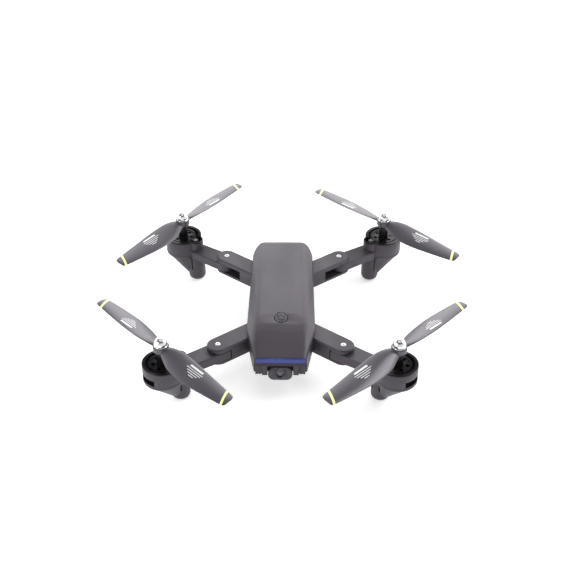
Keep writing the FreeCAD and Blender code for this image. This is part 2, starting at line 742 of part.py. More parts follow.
def make_camera_body():
    face = round_wire([
        (CAM_HALF, 17.6, 4.1),
        (CAM_HALF, 26.4, 4.0),
        (-CAM_HALF, 26.4, 4.0),
        (-CAM_HALF, 17.6, 4.1),
    ], lambda p: Vector(p.x, CAM_FRONT, p.y))
    body = Part.Face(face).extrude(Vector(0, CAM_DEPTH, 0))
    for y, radius in ((CAM_FRONT, 1.1), (CAM_FRONT + CAM_DEPTH, 2.0)):
        rim = []
        for edge in body.Edges:
            bounds = edge.BoundBox
            if abs(bounds.YMin - y) < 0.01 and abs(bounds.YMax - y) < 0.01:
                rim.append(edge)
        body = body.makeFillet(radius, rim)
    body = body.fuse(bar_x(CAM_Y, CAM_Z, 3.4, -6.5, 6.5))
    body = body.fuse(bar_x(CAM_Y, CAM_Z, 1.2, -10.6, 10.6))
    body = body.cut(bar_y(0.0, LENS_Z, 4.1, CAM_FRONT - 1.0, CAM_FRONT + LENS_SINK))
    return body.cut(bar_y(0.0, LENS_Z, 3.0, CAM_FRONT, CAM_FRONT + LENS_SINK + 3.0))


def make_lens_ring():
    """Bezel sunk in the camera's face, with a narrower barrel behind it."""
    seat = CAM_FRONT + LENS_SINK
    bezel = bar_y(0.0, LENS_Z, 3.9, seat - 1.0, seat)
    bezel = bezel.cut(bar_y(0.0, LENS_Z, 2.95, seat - 2.0, seat + 1.0))
    barrel = bar_y(0.0, LENS_Z, 3.0, seat, seat + 3.0)
    barrel = barrel.cut(bar_y(0.0, LENS_Z, 1.9, seat - 1.0, seat + 4.0))
    return bezel.fuse(barrel)


def make_lens_glass():
    seat = CAM_FRONT + LENS_SINK
    dome = Part.makeSphere(5.2, Vector(0, seat + 4.4, LENS_Z))
    return dome.common(bar_y(0.0, LENS_Z, 2.93, seat - 1.5, seat))


def make_key():
    """Power key with an engraved power mark; it flexes about the root of its neck."""
    key = shell().common(key_outline(0.0, TOP_Z - 5.0, TOP_Z + 1.0))
    arc = ring((0, KEY_Y), 2.6, 1.9, TOP_Z - 5.0, TOP_Z + 1.0)
    arc = arc.cut(box(-0.95, 0.95, KEY_Y, KEY_Y + 6.0, TOP_Z - 6.0, TOP_Z + 2.0))
    bar = box(-0.35, 0.35, KEY_Y + 0.2, KEY_Y + 3.6, TOP_Z - 5.0, TOP_Z + 1.0)
    return key.cut(arc.fuse(bar).cut(body_block(0.35)))


def make_battery():
    pack = box(-BATTERY_HALF, BATTERY_HALF, BATTERY_FRONT, BATTERY_REAR, 19.95, 33.1)
    long_edges = []
    for edge in pack.Edges:
        if edge.BoundBox.YLength > 20.0:
            long_edges.append(edge)
    pack = pack.makeFillet(2.0, long_edges)
    return pack.cut(box(-6.0, 6.0, BATTERY_FRONT - 1.0, BATTERY_FRONT + 3.0, 25.0, 31.0))


def make_battery_cap():
    cap = body_block().common(box(-15.9, 15.9, BATTERY_REAR, 70.0, 19.9, CANOPY_Z - 0.3))
    for n in range(3):
        z = 24.0 + 2.2 * n
        cap = cap.cut(box(-7.0, 7.0, 60.2, 70.0, z, z + 1.0))
    return cap


def make_board():
    board = box(-14.0, 14.0, -40.0, 36.0, 34.6, 35.8)
    for x, y in ((11.0, -36.0), (-11.0, -36.0), (11.0, 32.0), (-11.0, 32.0)):
        board = board.cut(post((x, y), 0.7, 30.0, 40.0))
    return board


def make_chips():
    return [
        box(-4.5, 4.5, -12.0, -3.0, 35.8, 36.8),
        box(-9.0, -3.0, 4.0, 10.0, 35.8, 37.2),
        box(3.0, 9.0, 6.0, 12.0, 35.8, 37.0),
        box(-5.0, 5.0, 20.0, 28.0, 35.8, 37.0),
        box(-3.0, 3.0, KEY_Y - 3.0, KEY_Y + 3.0, 35.8, 37.0),
        post((0, KEY_Y), 1.4, 37.0, 37.3),
        box(-5.0, 5.0, BATTERY_FRONT - 3.5, BATTERY_FRONT - 0.3, 24.5, 34.6),
    ]


def make_flow_sensor():
    body = box(-5.4, 5.4, -50.4, -41.6, BELLY_Z + 0.2, BELLY_Z + 2.6)
    for x in (-2.4, 2.4):
        body = body.cut(post((x, -46.0), 1.5, 10.0, BELLY_Z + 0.9))
        body = body.fuse(Part.makeSphere(1.3, Vector(x, -46.0, BELLY_Z + 1.4)).common(
            post((x, -46.0), 2.0, BELLY_Z + 0.3, BELLY_Z + 1.4)))
    return body


def make_pivot_pins():
    pins = []
    for corner in CORNERS.values():
        point = (PIVOT[0] * corner[0], PIVOT[1] * corner[1])
        shank = post(point, PIN_R, CLEVIS_LOW + 0.2, CLEVIS_TOP - 0.7)
        head = post(point, 1.9, CLEVIS_TOP - 0.7, CLEVIS_TOP + 0.1)
        head = head.makeFillet(0.35, edges_at(head, CLEVIS_TOP + 0.1))
        slot = Part.makeCylinder(0.75, 0.6, Vector(point[0], point[1], CLEVIS_TOP - 0.4))
        pins.append(shank.fuse(head).cut(slot))
    return pins


def make_shell_screws():
    screws = []
    for p in screw_points():
        head = post(p, 1.65, BELLY_Z + 0.3, BELLY_Z + 1.2)
        shank = post(p, 0.8, BELLY_Z + 1.2, 29.2)
        cross = box(p[0] - 1.0, p[0] + 1.0, p[1] - 0.25, p[1] + 0.25, 10.0, BELLY_Z + 0.7)
        screws.append(head.fuse(shank).cut(cross).cut(turned(cross, 90.0, p)))
    return screws


# ---------------------------------------------------------------- export
def export(name, shapes):
    if not isinstance(shapes, list):
        shapes = [shapes]
    solids = []
    for shape in shapes:
        solids += shape.Solids
    whole = solids[0] if len(solids) == 1 else Part.makeCompound(solids)
    whole = whole.copy()
    whole.translate(Vector(0, CENTRE_Y, -LEG_LOW))
    if not whole.isValid():
        print("NOT VALID", name)
    if len(solids) != len(shapes):
        print("SOLIDS", name, len(solids), "from", len(shapes))
    whole.exportStep("parts/" + name + ".step")
    print(name, len(solids), round(whole.Volume, 1))


def build():
    skin = shell()
    inner = body_block(WALL)
    arms = all_corners(clevis())
    export("canopy", make_canopy(inner))
    export("upper_frame", make_upper_frame(skin, inner, arms))
    export("bottom_shell", make_bottom_shell(skin, inner, arms))
    export("nose_grille", make_nose())
    export("nose_window", body_block().common(window_slab()))
    export("camera_body", make_camera_body())
    export("camera_lens_ring", make_lens_ring())
    export("camera_glass", make_lens_glass())
    export("power_key", make_key())
    export("main_board", make_board())
    export("board_chips", make_chips())
    export("battery_pack", make_battery())
    export("battery_cap", make_battery_cap())
    export("pivot_pins", make_pivot_pins())
    export("shell_screws", make_shell_screws())
    export("floor_sensor", make_flow_sensor())

    corner_parts = {
        "arm": outer_arm(),
        "leg": leg_cover(),
        "led_lens": led_lens(),
        "gear_base": gear_base(),
        "motor": motor_can(),
        "rotor_shaft": rotor_shaft(),
        "main_gear": main_gear(),
        "pinion": pinion(),
    }
    sleeves = bushings()
    prop_left = propeller()
    prop_right = prop_left.mirror(Vector(0, 0, 0), Vector(0, 1, 0))
    cap = spinner_cap()
    for corner, signs in CORNERS.items():
        for name, shape in corner_parts.items():
            export(name + "_" + corner, mirrored(shape, signs))
        export("bushings_" + corner, [mirrored(s, signs) for s in sleeves])
        prop = turned(prop_left if TURNS_LEFT[corner] else prop_right, BLADE_ANGLE[corner])
        top = cap.copy()
        for shape in (prop, top):
            shape.translate(Vector(HUB[0] * signs[0], HUB[1] * signs[1], 0))
        export("propeller_" + corner, prop)
        export("spinner_cap_" + corner, top)


build()
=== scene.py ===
import json
import math

import bmesh
import bpy
from mathutils import Matrix, Vector


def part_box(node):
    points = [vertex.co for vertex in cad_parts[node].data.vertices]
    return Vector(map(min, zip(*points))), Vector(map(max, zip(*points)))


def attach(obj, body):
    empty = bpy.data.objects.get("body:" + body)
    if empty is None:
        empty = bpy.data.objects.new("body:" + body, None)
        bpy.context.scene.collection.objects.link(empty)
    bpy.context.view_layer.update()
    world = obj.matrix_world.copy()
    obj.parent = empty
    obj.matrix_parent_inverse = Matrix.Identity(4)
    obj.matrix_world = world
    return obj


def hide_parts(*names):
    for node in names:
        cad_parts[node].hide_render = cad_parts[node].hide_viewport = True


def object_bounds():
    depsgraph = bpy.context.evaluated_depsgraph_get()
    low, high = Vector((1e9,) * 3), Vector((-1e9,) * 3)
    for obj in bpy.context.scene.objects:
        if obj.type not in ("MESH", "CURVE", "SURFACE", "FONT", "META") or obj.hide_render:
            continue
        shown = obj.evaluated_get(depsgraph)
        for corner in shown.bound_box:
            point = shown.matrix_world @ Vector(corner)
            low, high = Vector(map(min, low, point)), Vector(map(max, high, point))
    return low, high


# Looks of the folding quadcopter: finishes for the CAD parts, and finer pieces for the
# propellers, caps, screws and camera lens, each in the place of the CAD node it replaces.
# Lengths are in metres; MM turns millimetres into metres.

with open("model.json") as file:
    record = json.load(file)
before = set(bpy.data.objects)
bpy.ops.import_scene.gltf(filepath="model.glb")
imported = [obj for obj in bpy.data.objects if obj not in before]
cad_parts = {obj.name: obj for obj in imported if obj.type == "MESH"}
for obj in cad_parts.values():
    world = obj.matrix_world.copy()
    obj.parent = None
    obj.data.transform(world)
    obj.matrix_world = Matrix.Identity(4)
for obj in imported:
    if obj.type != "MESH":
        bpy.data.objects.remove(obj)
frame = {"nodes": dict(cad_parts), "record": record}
cad_low, cad_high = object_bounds()
nodes = frame["nodes"]

MM = 0.001
CORNERS = ("fl", "fr", "rl", "rr")

# Each rotor's sense of turning, and the angle in degrees at which its blades rest.
TURNS_LEFT = {"fl": True, "fr": False, "rl": False, "rr": True}
BLADE_ANGLE = {"fl": 133.8, "fr": 45.0, "rl": 52.9, "rr": 137.6}

# Camera: where it looks, how far it stands off, and from which side and height. Angles are
# in degrees; azimuth is 0 in front of the nose and grows towards +X.
CAMERA_AIM = Vector((2.0, 14.2, 28.4)) * MM
CAMERA_DISTANCE = 0.7268
CAMERA_AZIMUTH = 0.9
CAMERA_ELEVATION = 36.0
CAMERA_ROLL = -0.3
CAMERA_LENS = 65.5

# Propeller blade, measured from the rotor axis with the blade along +X. Each row holds
# radius, leading edge, trailing edge, pitch in degrees and thickness, in millimetres.
BLADE_STATIONS = (
    (3.2, 3.0, -3.4, 22.0, 2.4),
    (8.0, 5.0, -5.6, 24.0, 2.0),
    (15.0, 6.2, -8.2, 22.0, 1.6),
    (25.0, 6.2, -9.4, 18.0, 1.4),
    (36.0, 5.6, -9.4, 14.0, 1.2),
    (48.0, 4.7, -8.3, 11.0, 1.05),
    (58.0, 3.9, -7.1, 9.0, 0.95),
    (64.0, 3.3, -6.2, 8.0, 0.85),
    (65.9, 2.2, -5.6, 8.0, 0.8),
    (66.5, 0.4, -4.6, 8.0, 0.7),
)
RINGS_PER_STATION = 6
CHORD_POINTS = 14        # points along each face of a blade section
CAMBER = 0.045           # rise of a section's middle line, as a share of its width
BLADE_BELOW_CAP = 2.2    # from the cap's lower rim down to the blade's middle plane
BLADE_UV_SPAN = 100.0    # millimetres of blade in one unit of its coordinates
HUB_RADIUS = 5.1
HUB_FOOT_RADIUS = 3.6
HUB_HEIGHT = 5.0
HUB_RIM_ROUNDING = 0.35

# Print on the blades: plain bars in place of lettering, and a stripe near the tip.
# Each bar is (inner radius, outer radius, centre across the blade, width), in millimetres.
PRINT_BARS = (
    (27.2, 38.6, 2.6, 1.3),
    (25.6, 40.2, 0.7, 0.42),
    (27.4, 39.4, -0.7, 0.42),
    (29.4, 37.8, -2.1, 0.42),
    (31.6, 35.8, -3.5, 0.42),
)
STRIPE_RADIUS = 61.4
STRIPE_WIDTH = 1.8
STRIPE_SLANT = -0.5      # the stripe lies further out towards the trailing edge
PRINT_WHITE = (0.78, 0.79, 0.80)
PRINT_YELLOW = (0.88, 0.92, 0.36)

# Plastic finishes that more than one material shares.
SHEEN_TINT = (0.97, 0.90, 1.0, 1.0)      # the grey plastic shines slightly purple
BLADE_GREY = (0.047, 0.0435, 0.0535)
BLADE_ROUGHNESS = 0.30
BLADE_SPECULAR = 0.8

# Light: the sky's brightness behind and in front of the object, how much of it is left
# straight above, and the light that the floor adds of its own, as a studio sweep does.
SKY_BACK = 2.5
SKY_FRONT = 1.0
SKY_TOP = 0.15
FLOOR_GLOW = 0.41
FLOOR_HALF_WIDTH = 4.0

# Softboxes: name, azimuth and elevation in degrees, distance and size in metres, watts.
SOFTBOXES = (
    ("front_box", -55.0, 28.0, 1.3, 0.5, 4.5),
    ("right_box", 100.0, 42.0, 1.3, 0.6, 6.0),
    ("top_box", 0.0, 88.0, 1.4, 1.0, 2.5),
    ("back_box", 175.0, 38.0, 1.6, 1.2, 6.0),
)

# Pivot screws, in millimetres: each is a pan head on a pin, with a cross recess.
PIN_RADIUS = 1.25
SCREW_HEAD_RADIUS = 1.9
SCREW_HEAD_HEIGHT = 0.8
SCREW_EDGE_ROUNDING = 0.35
SCREW_FLAT_RADIUS = 0.8
CROSS_REACH = 1.05
CROSS_HALF_WIDTH = 0.22
CROSS_DEPTH = 0.5

# Spinner cap, in millimetres.
CAP_FOOT_ROUNDING = 0.3
CAP_GROOVE_DEPTH = 0.32

# Camera lens, in millimetres: the tube behind the ring's flange, the bore and its steps, and
# the glass as (radius, crown, thickness, depth behind the front of the CAD glass).
LENS_TUBE_RADIUS = 3.0
LENS_BORE_RADIUS = 1.9
LENS_STEPS = 4
LENS_FIRST_STEP = 2.42
LENS_STEP_IN = 0.13
LENS_STEP_DOWN = 0.45
LENS_ELEMENTS = ((2.3, 0.70, 0.35, 0.95), (1.75, 0.45, 0.5, 2.6))


# ---------------------------------------------------------------- shader helpers
def start_material(name):
    """A new node material: its tree, its main shader and its place in the frame."""
    material = bpy.data.materials.new("look_" + name)
    material.use_nodes = True
    tree = material.node_tree
    shader = tree.nodes["Principled BSDF"]
    coords = tree.nodes.new("ShaderNodeTexCoord").outputs["Object"]
    return material, tree, shader, coords


def add(tree, kind, inputs, **settings):
    """Add a shader node, set its options, and link or set its inputs."""
    made = tree.nodes.new(kind)
    for key, value in settings.items():
        setattr(made, key, value)
    for key, value in inputs.items():
        if isinstance(value, bpy.types.NodeSocket):
            tree.links.new(value, made.inputs[key])
        else:
            made.inputs[key].default_value = value
    return made


def noise(tree, coords, scale, detail=3.0, stretch=None):
    """Noise whose features are about 1 / scale metres, if wanted stretched along an axis."""
    if stretch:
        coords = add(tree, "ShaderNodeMapping", {"Vector": coords, "Scale": stretch}).outputs[0]
    inputs = {"Vector": coords, "Scale": scale, "Detail": detail}
    return add(tree, "ShaderNodeTexNoise", inputs).outputs["Fac"]


def between(tree, value, low, high, out_low=0.0, out_high=1.0):
    """Map a range of values onto another, clamped at both ends."""
    inputs = {
        "Value": value,
        "From Min": low,
        "From Max": high,
        "To Min": out_low,
        "To Max": out_high,
    }
    return add(tree, "ShaderNodeMapRange", inputs, interpolation_type="SMOOTHSTEP").outputs[0]


def calc(tree, operation, a, b=0.0, c=0.0):
    """One step of arithmetic on numbers or sockets."""
    return add(tree, "ShaderNodeMath", {0: a, 1: b, 2: c}, operation=operation).outputs[0]


def blend_colour(tree, factor, a, b):
    """Mix two colours or colour sockets."""
    mix = add(tree, "ShaderNodeMix", {}, data_type="RGBA")
    for name, value in (("Factor_Float", factor), ("A_Color", a), ("B_Color", b)):
        socket = next(s for s in mix.inputs if s.identifier == name)
        if isinstance(value, bpy.types.NodeSocket):
            tree.links.new(value, socket)
        elif name == "Factor_Float":
            socket.default_value = value
        else:
            socket.default_value = (*value, 1.0)
    return next(s for s in mix.outputs if s.identifier == "Result_Color")


def edge_mask(tree, radius, low=0.01, high=0.10):
    """White where the surface turns sharply within a small radius, so along its edges."""
    rounded = add(tree, "ShaderNodeBevel", {"Radius": radius}, samples=4).outputs["Normal"]
    true = tree.nodes.new("ShaderNodeNewGeometry").outputs["Normal"]
    facing = add(tree, "ShaderNodeVectorMath", {0: rounded, 1: true}, operation="DOT_PRODUCT")
    turned = calc(tree, "SUBTRACT", 1.0, facing.outputs["Value"])
    return between(tree, turned, low, high)


def scaled(colour, factor):
    """A colour made darker or lighter."""
    return tuple(min(1.0, channel * factor) for channel in colour)


def bump(tree, height, distance, strength=1.0, normal=None):
    """A normal bent by a height, on top of another normal if one is given."""
    inputs = {"Height": height, "Distance": distance, "Strength": strength}
    if normal:
        inputs["Normal"] = normal
    return add(tree, "ShaderNodeBump", inputs).outputs["Normal"]


# ---------------------------------------------------------------- materials
def moulded(name, colour, roughness, grain=1.0, edge_highlight_strength=1.0, specular=0.5):
    """Injection-moulded plastic: eroded grain, soft tone changes, handling marks, and a painted
    highlight that lightens its edges in patches.
    """
    material, tree, shader, coords = start_material(name)
    cloud = noise(tree, coords, 32.0, 4.0)
    speckle = noise(tree, coords, 2600.0, 2.0)
    grain_height = noise(tree, coords, 4200.0, 3.0)
    ripple = noise(tree, coords, 160.0, 2.0)
    smear = noise(tree, coords, 60.0, 5.0, stretch=(1.0, 0.35, 1.0))
    tone = blend_colour(
        tree, between(tree, cloud, 0.3, 0.7), scaled(colour, 0.92), scaled(colour, 1.08)
    )
    tone = blend_colour(
        tree, between(tree, speckle, 0.35, 0.65, 0.0, 0.5), tone, scaled(colour, 1.25)
    )
    patchy = between(tree, noise(tree, coords, 240.0, 4.0), 0.40, 0.62)
    # Painted highlight: the edges are lightened in patches, and made a little glossier there.
    painted_edge_highlight = calc(tree, "MULTIPLY", edge_mask(tree, 0.35 * MM), patchy)
    painted_edge_highlight = calc(tree, "MULTIPLY", painted_edge_highlight, 0.55 * edge_highlight_strength)
    tree.links.new(
        blend_colour(tree, painted_edge_highlight, tone, scaled(colour, 2.2)), shader.inputs["Base Color"]
    )
    gloss = between(tree, smear, 0.35, 0.70, roughness + 0.05, roughness - 0.07)
    polished = calc(tree, "MULTIPLY_ADD", painted_edge_highlight, -0.12, gloss)
    tree.links.new(polished, shader.inputs["Roughness"])
    fine = bump(tree, grain_height, 0.012 * MM * grain)
    tree.links.new(bump(tree, ripple, 0.02 * MM, 1.0, fine), shader.inputs["Normal"])
    shader.inputs["Specular IOR Level"].default_value = specular
    shader.inputs["Specular Tint"].default_value = SHEEN_TINT
    return material


def printed(name, colour, roughness):
    """Blade plastic with flow lines along the blade, a tip stripe and plain printed bars."""
    material, tree, shader, coords = start_material(name)
    uv = tree.nodes.new("ShaderNodeUVMap")
    uv.uv_map = "blade"
    split = add(tree, "ShaderNodeSeparateXYZ", {"Vector": uv.outputs[0]})
    radius = calc(tree, "MULTIPLY", split.outputs[0], BLADE_UV_SPAN)
    across = calc(
        tree, "MULTIPLY_ADD", split.outputs[1], BLADE_UV_SPAN, -BLADE_UV_SPAN / 2.0
    )

    flow = noise(tree, uv.outputs[0], 90.0, 4.0, stretch=(0.25, 2.5, 1.0))
    cloud = noise(tree, coords, 45.0, 3.0)
    tone = blend_colour(
        tree, between(tree, cloud, 0.3, 0.7), scaled(colour, 0.93), scaled(colour, 1.06)
    )
    tone = blend_colour(
        tree, between(tree, flow, 0.45, 0.7, 0.0, 0.18), tone, scaled(colour, 1.3)
    )
    # Painted highlight: the blade's edges are lightened in patches.
    painted_edge_highlight = calc(
        tree, "MULTIPLY", edge_mask(tree, 0.3 * MM),
        between(tree, noise(tree, coords, 300.0, 3.0), 0.35, 0.6, 0.0, 0.5),
    )
    tone = blend_colour(tree, painted_edge_highlight, tone, scaled(colour, 3.0))

    ink_wear = between(tree, noise(tree, coords, 1500.0, 3.0), 0.30, 0.38, 0.25, 1.0)
    bars = None
    for inner, outer, centre, width in PRINT_BARS:
        along = calc(tree, "COMPARE", radius, (inner + outer) / 2.0, (outer - inner) / 2.0)
        side = calc(tree, "COMPARE", across, centre, width / 2.0)
        bar = calc(tree, "MULTIPLY", along, side)
        bars = bar if bars is None else calc(tree, "MAXIMUM", bars, bar)
    bars = calc(tree, "MULTIPLY", bars, ink_wear)
    slanted = calc(tree, "MULTIPLY_ADD", across, -STRIPE_SLANT, radius)
    stripe = calc(tree, "COMPARE", slanted, STRIPE_RADIUS, STRIPE_WIDTH / 2.0)
    stripe = calc(tree, "MULTIPLY", stripe, ink_wear)
    tone = blend_colour(tree, bars, tone, PRINT_WHITE)
    tone = blend_colour(tree, stripe, tone, PRINT_YELLOW)
    tree.links.new(tone, shader.inputs["Base Color"])

    ink = calc(tree, "MAXIMUM", bars, stripe)
    gloss = between(tree, flow, 0.3, 0.7, roughness + 0.025, roughness - 0.025)
    tree.links.new(calc(tree, "MULTIPLY_ADD", ink, 0.12, gloss), shader.inputs["Roughness"])
    fine = bump(tree, noise(tree, coords, 3200.0, 2.0), 0.006 * MM)
    lines = bump(tree, flow, 0.012 * MM, 0.5, fine)
    tree.links.new(bump(tree, ink, 0.012 * MM, 1.0, lines), shader.inputs["Normal"])
    shader.inputs["Specular IOR Level"].default_value = BLADE_SPECULAR
    shader.inputs["Specular Tint"].default_value = SHEEN_TINT
    return material


def metal(name, colour, roughness, smudge, scratches):
    """Bright metal with finger smudges and fine scratches, and painted shade along its edges."""
    material, tree, shader, coords = start_material(name)
    shader.inputs["Metallic"].default_value = 1.0
    cloud = noise(tree, coords, 350.0, 4.0)
    fine = noise(tree, coords, 900.0, 4.0, stretch=(6.0, 0.6, 1.0))
    tone = blend_colour(
        tree, between(tree, cloud, 0.35, 0.7), colour, scaled(colour, 0.86)
    )
    # Painted shade: the colour is darkened along edges and creases.
    tone = blend_colour(tree, edge_mask(tree, 0.15 * MM), tone, scaled(colour, 0.7))
    tree.links.new(tone, shader.inputs["Base Color"])
    spots = between(tree, cloud, 0.4, 0.75, roughness, roughness + smudge)
    tree.links.new(
        calc(tree, "MULTIPLY_ADD", between(tree, fine, 0.55, 0.75), scratches, spots),
        shader.inputs["Roughness"],
    )
    tree.links.new(bump(tree, fine, 0.0015 * MM, 0.5), shader.inputs["Normal"])
    return material


def window_blue(name):
    """Blue tinted strip with a painted band of light along it and fine moulded lines behind."""
    material, tree, shader, coords = start_material(name)
    split = add(tree, "ShaderNodeSeparateXYZ", {"Vector": coords})
    low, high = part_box("nose_window")
    height = between(tree, split.outputs[2], low.z, high.z)
    deep, bright = (0.018, 0.027, 0.14), (0.080, 0.100, 0.33)
    clouded, outline = (0.085, 0.105, 0.34), (0.008, 0.010, 0.05)
    # Painted light: a brighter band along the middle of the strip's height.
    glow = calc(tree, "SINE", calc(tree, "MULTIPLY", height, math.pi))
    cloud = between(tree, noise(tree, coords, 130.0, 3.0), 0.3, 0.7)
    tone = blend_colour(tree, calc(tree, "MULTIPLY", glow, 0.8), deep, bright)
    tone = blend_colour(tree, calc(tree, "MULTIPLY", cloud, 0.35), tone, clouded)
    lines = add(
        tree, "ShaderNodeTexWave", {"Vector": coords, "Scale": 260.0, "Distortion": 0.3},
        bands_direction="X",
    ).outputs["Fac"]
    tone = blend_colour(tree, between(tree, lines, 0.55, 0.9, 0.0, 0.22), tone, deep)
    rim = edge_mask(tree, 0.45 * MM)
    tone = blend_colour(tree, calc(tree, "MULTIPLY", rim, 0.85), tone, outline)
    tree.links.new(tone, shader.inputs["Base Color"])
    haze = between(tree, noise(tree, coords, 500.0, 4.0), 0.4, 0.7, 0.16, 0.30)
    tree.links.new(haze, shader.inputs["Roughness"])
    shader.inputs["Coat Weight"].default_value = 0.2
    shader.inputs["Coat Roughness"].default_value = 0.08
    tree.links.new(bump(tree, lines, 0.01 * MM, 0.4), shader.inputs["Normal"])
    return material


def dark_glass(name, colour, tint, roughness, coat=1.0, specular=0.5):
    """Dark glass or smoked lens: a coating tint that changes over the surface, and dust."""
    material, tree, shader, coords = start_material(name)
    cloud = noise(tree, coords, 420.0, 3.0)
    coating = between(tree, cloud, 0.2, 0.8, 0.1, 0.7)
    tree.links.new(blend_colour(tree, coating, colour, tint), shader.inputs["Base Color"])
    dust = between(tree, noise(tree, coords, 2400.0, 3.0), 0.62, 0.72, roughness, roughness + 0.3)
    tree.links.new(dust, shader.inputs["Roughness"])
    shader.inputs["Specular IOR Level"].default_value = specular
    shader.inputs["Coat Weight"].default_value = coat
    shader.inputs["Coat Roughness"].default_value = 0.03
    tree.links.new(bump(tree, cloud, 0.004 * MM, 0.3), shader.inputs["Normal"])
    return material


def circuit_board(name):
    """Green solder mask over copper tracks that run in both directions."""
    material, tree, shader, coords = start_material(name)
    tracks = None
    for direction in ("X", "Y"):
        wave = add(
            tree, "ShaderNodeTexWave",
            {"Vector": coords, "Scale": 120.0, "Distortion": 1.5, "Detail": 0.0},
            bands_direction=direction,
        ).outputs["Fac"]
        line = between(tree, wave, 0.86, 0.93)
        tracks = line if tracks is None else calc(tree, "MAXIMUM", tracks, line)
    patch = between(tree, noise(tree, coords, 90.0, 0.0), 0.48, 0.52)
    tracks = calc(tree, "MULTIPLY", tracks, patch)
    mask = blend_colour(
        tree, noise(tree, coords, 400.0), (0.006, 0.060, 0.022), (0.010, 0.085, 0.030)
    )
    tree.links.new(
        blend_colour(tree, tracks, mask, (0.03, 0.17, 0.06)), shader.inputs["Base Color"]
    )
    sheen = between(tree, noise(tree, coords, 700.0), 0.3, 0.7, 0.28, 0.42)
    tree.links.new(sheen, shader.inputs["Roughness"])
    tree.links.new(bump(tree, tracks, 0.035 * MM), shader.inputs["Normal"])
    return material


def shrink_wrap(name):
    """Dark shrink film, wrinkled across the pack, with a satin shine."""
    material, tree, shader, coords = start_material(name)
    folds = noise(tree, coords, 110.0, 5.0, stretch=(1.0, 0.25, 1.0))
    # Painted light and shade: the film is lighter on its folds' ridges and darker in their
    # hollows.
    tone = blend_colour(
        tree, between(tree, folds, 0.3, 0.7), (0.012, 0.013, 0.018), (0.030, 0.032, 0.042)
    )
    tree.links.new(tone, shader.inputs["Base Color"])
    tree.links.new(between(tree, folds, 0.3, 0.7, 0.24, 0.45), shader.inputs["Roughness"])
    tree.links.new(bump(tree, folds, 0.15 * MM, 0.6), shader.inputs["Normal"])
    return material


LOOKS = {
    "canopy_plastic": moulded("canopy_plastic", (0.041, 0.0358, 0.0438), 0.40),
    "frame_plastic": moulded("frame_plastic", (0.034, 0.0295, 0.0362), 0.46, grain=1.3),
    "arm_plastic": moulded("arm_plastic", (0.035, 0.0304, 0.0374), 0.46, grain=1.2),
    "nose_plastic": moulded("nose_plastic", (0.034, 0.0282, 0.0345), 0.50, grain=1.3),
    "camera_plastic": moulded("camera_plastic", (0.036, 0.034, 0.038), 0.45),
    "black_plastic": moulded(
        "black_plastic", (0.0045, 0.0040, 0.0043), 0.34, grain=0.7, edge_highlight_strength=0.5, specular=0.35
    ),
    "lens_ring": moulded("lens_ring", (0.030, 0.030, 0.034), 0.32, grain=0.5),
    "window_blue": window_blue("window_blue"),
    "lens_glass": dark_glass("lens_glass", (0.006, 0.006, 0.009), (0.05, 0.03, 0.09), 0.04),
    "led_smoke": dark_glass(
        "led_smoke", (0.002, 0.002, 0.0024), (0.005, 0.0045, 0.006), 0.30, coat=0.0, specular=0.0
    ),
    "propeller_plastic": moulded(
        "propeller_plastic", BLADE_GREY, BLADE_ROUGHNESS, grain=0.6, specular=BLADE_SPECULAR
    ),
    "propeller_print": printed("propeller_print", BLADE_GREY, BLADE_ROUGHNESS),
    "chrome": metal("chrome", (0.80, 0.80, 0.82), 0.05, 0.05, 0.05),
    "steel": metal("steel", (0.56, 0.56, 0.57), 0.24, 0.12, 0.15),
    "brass": metal("brass", (0.72, 0.50, 0.20), 0.25, 0.12, 0.10),
    "board_green": circuit_board("board_green"),
    "battery_wrap": shrink_wrap("battery_wrap"),
}


# ---------------------------------------------------------------- mesh helpers
def piece(name, bm, body, slot, *looks):
    """Turn a bmesh into a named piece that rides on a body and takes a finish."""
    bmesh.ops.recalc_face_normals(bm, faces=bm.faces)
    mesh = bpy.data.meshes.new(name)
    bm.to_mesh(mesh)
    bm.free()
    for look in looks or (slot,):
        mesh.materials.append(LOOKS[look])
    made = bpy.data.objects.new(name, mesh)
    bpy.context.scene.collection.objects.link(made)
    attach(made, body)
    return made


def smooth_by_angle(thing, degrees):
    """Smooth shading that keeps edges sharper than an angle."""
    bm = bmesh.new()
    bm.from_mesh(thing.data)
    for face in bm.faces:
        face.smooth = True
    for edge in bm.edges:
        if len(edge.link_faces) == 2:
            edge.smooth = edge.calc_face_angle(0.0) < math.radians(degrees)
    bm.to_mesh(thing.data)
    bm.free()


def lathe(bm, profile, place, segments=64):
    """Turn a closed profile of (radius, height) in millimetres about an axis.

    place is the matrix from the lathe's own axis Z into the frame. A radius of zero closes
    the form on its axis; otherwise the last point joins the first, as in a ring.
    """
    rings = []
    for radius, height in profile:
        if radius == 0.0:
            rings.append([bm.verts.new(place @ Vector((0, 0, height * MM)))])
            continue
        turns = [2.0 * math.pi * n / segments for n in range(segments)]
        points = [(radius * math.cos(t), radius * math.sin(t), height) for t in turns]
        rings.append([bm.verts.new(place @ (Vector(p) * MM)) for p in points])
    closed = profile[0][0] > 0.0 and profile[-1][0] > 0.0
    pairs = list(zip(rings, rings[1:])) + ([(rings[-1], rings[0])] if closed else [])
    for a, b in pairs:
        for n in range(segments):
            corners = [a[n % len(a)], a[(n + 1) % len(a)], b[(n + 1) % len(b)], b[n % len(b)]]
            unique = list(dict.fromkeys(corners))
            if len(unique) > 2:
                bm.faces.new(unique)


def arc(centre_r, centre_h, radius, start, end, count):
    """Profile points along an arc, angles in degrees from the outward direction."""
    points = []
    for n in range(count + 1):
        turn = math.radians(start + (end - start) * n / count)
        points.append((
            max(0.0, centre_r + radius * math.cos(turn)), centre_h + radius * math.sin(turn)
        ))
    return points


def subtract(thing, cutter_bm):
    """Cut the solid in a bmesh out of a piece."""
    mesh = bpy.data.meshes.new("cutter")
    bmesh.ops.recalc_face_normals(cutter_bm, faces=cutter_bm.faces)
    cutter_bm.to_mesh(mesh)
    cutter_bm.free()
    combine(thing, mesh, "DIFFERENCE")


